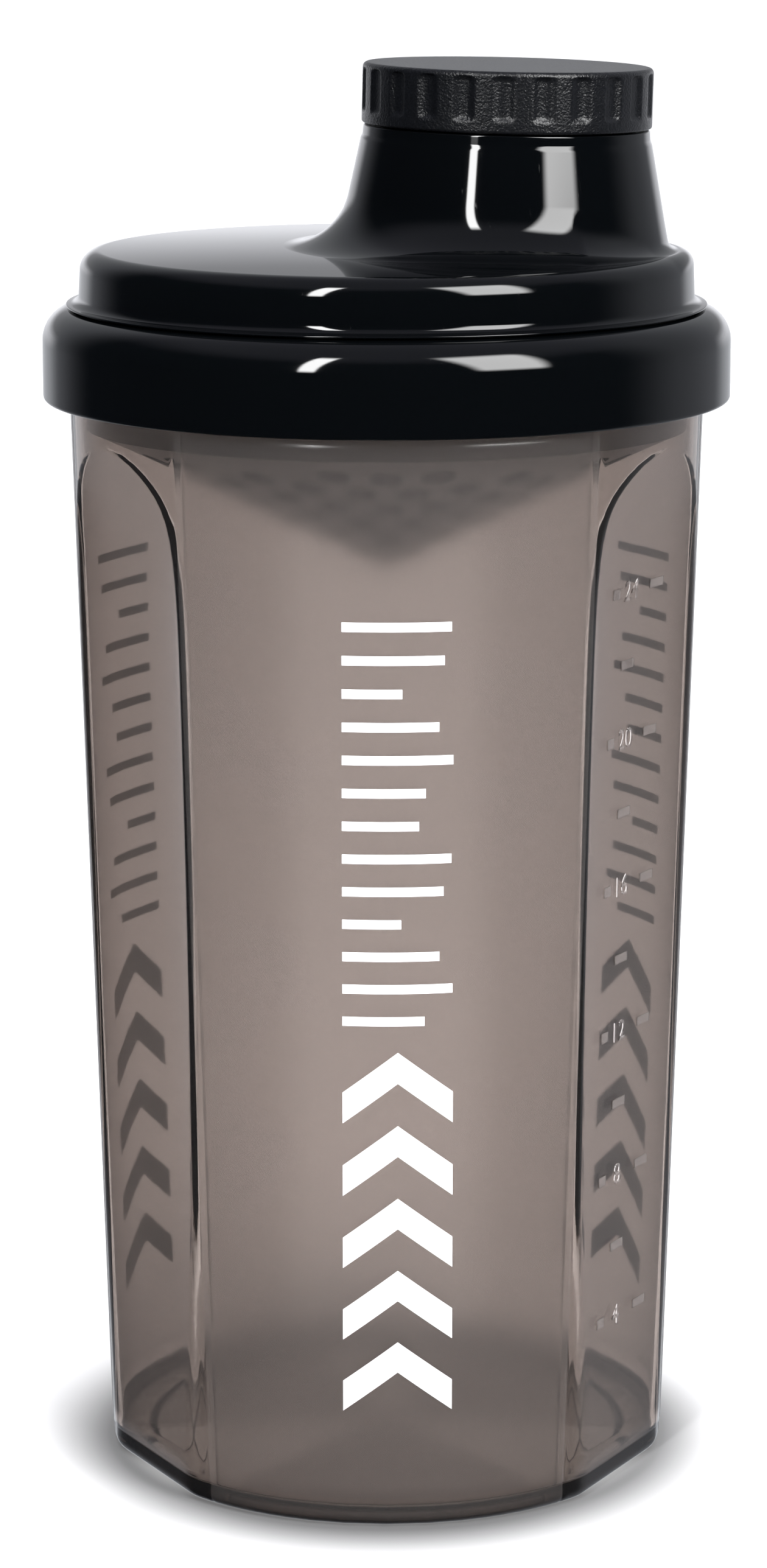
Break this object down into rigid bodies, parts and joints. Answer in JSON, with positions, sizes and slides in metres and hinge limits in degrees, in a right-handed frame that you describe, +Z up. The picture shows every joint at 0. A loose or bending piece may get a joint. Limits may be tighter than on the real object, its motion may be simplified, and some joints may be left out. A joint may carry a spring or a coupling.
{
  "type": "protein shaker bottle",
  "caption": "Protein shaker bottle: tinted fluted cup, screw lid with leaning spout and ribbed screw cap, and a cone strainer hung in the neck.",
  "frame": {"origin": "middle of the base, on the surface the bottle stands on", "axes": "+Z up along the cup's axis; the front panel faces -Y; the spout is off centre and leans towards +X"},
  "size_m": [0.101, 0.101, 0.2098],
  "materials": {
    "cup": "smoke-tinted clear, glossy",
    "lid": "high gloss black",
    "cap": "fine matt black",
    "strainer": "satin black",
    "seal": "silicone",
    "print": "printed white ink"
  },
  "bodies": {
    "cup": {"cup": "cup"},
    "strainer": {"strainer": "strainer"},
    "lid": {"lid": "lid", "lid_gasket": "seal"},
    "cap_seal": {"cap_liner": "seal"},
    "cap": {"spout_cap": "cap"}
  },
  "joints": [
    {"name": "lid_rise", "type": "slide", "parent": "cup", "child": "strainer", "axis": [0, 0, 1], "range_m": [0, 0.005]},
    {"name": "lid_turn", "type": "hinge", "parent": "strainer", "child": "lid", "pos_m": [0, 0, 0.1606], "axis": [0, 0, 1], "range_deg": [0, 360]},
    {"name": "cap_rise", "type": "slide", "parent": "lid", "child": "cap_seal", "axis": [0.0227, 0, 0.9997], "range_m": [0, 0.003]},
    {"name": "cap_turn", "type": "hinge", "parent": "cap_seal", "child": "cap", "pos_m": [0.01706, 0, 0.1815], "axis": [0.0227, 0, 0.9997], "range_deg": [0, 360]}
  ],
  "couplings": [
    {"joint": "lid_rise", "follows": "lid_turn", "m_per_rad": 0.00079577},
    {"joint": "cap_rise", "follows": "cap_turn", "m_per_rad": 0.00047746}
  ]
}
